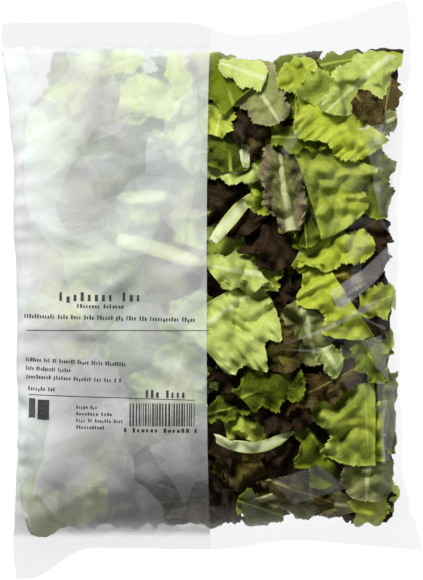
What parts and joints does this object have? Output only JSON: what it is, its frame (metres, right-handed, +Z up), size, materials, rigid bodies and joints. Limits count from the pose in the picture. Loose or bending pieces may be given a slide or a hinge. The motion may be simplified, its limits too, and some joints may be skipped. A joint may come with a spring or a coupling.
{
  "type": "bag of salad leaves",
  "caption": "Sealed clear film pillow bag of mixed cut salad leaves, lying flat, with a milky printed band over its left half.",
  "frame": {"origin": "middle of the bag's footprint, on the surface that it lies on", "axes": "+X across the bag to its clear half, +Y along it to the top seal, +Z up out of the front"},
  "size_m": [0.2064, 0.284, 0.0555],
  "materials": {
    "filled_bag": "gloss",
    "film": "gloss",
    "print": "matte",
    "green_leaf": "satin",
    "dark_leaf": "satin",
    "red_leaf": "satin",
    "rib": "satin"
  },
  "bodies": {
    "root": {"bag": "filled_bag"}
  },
  "joints": []
}
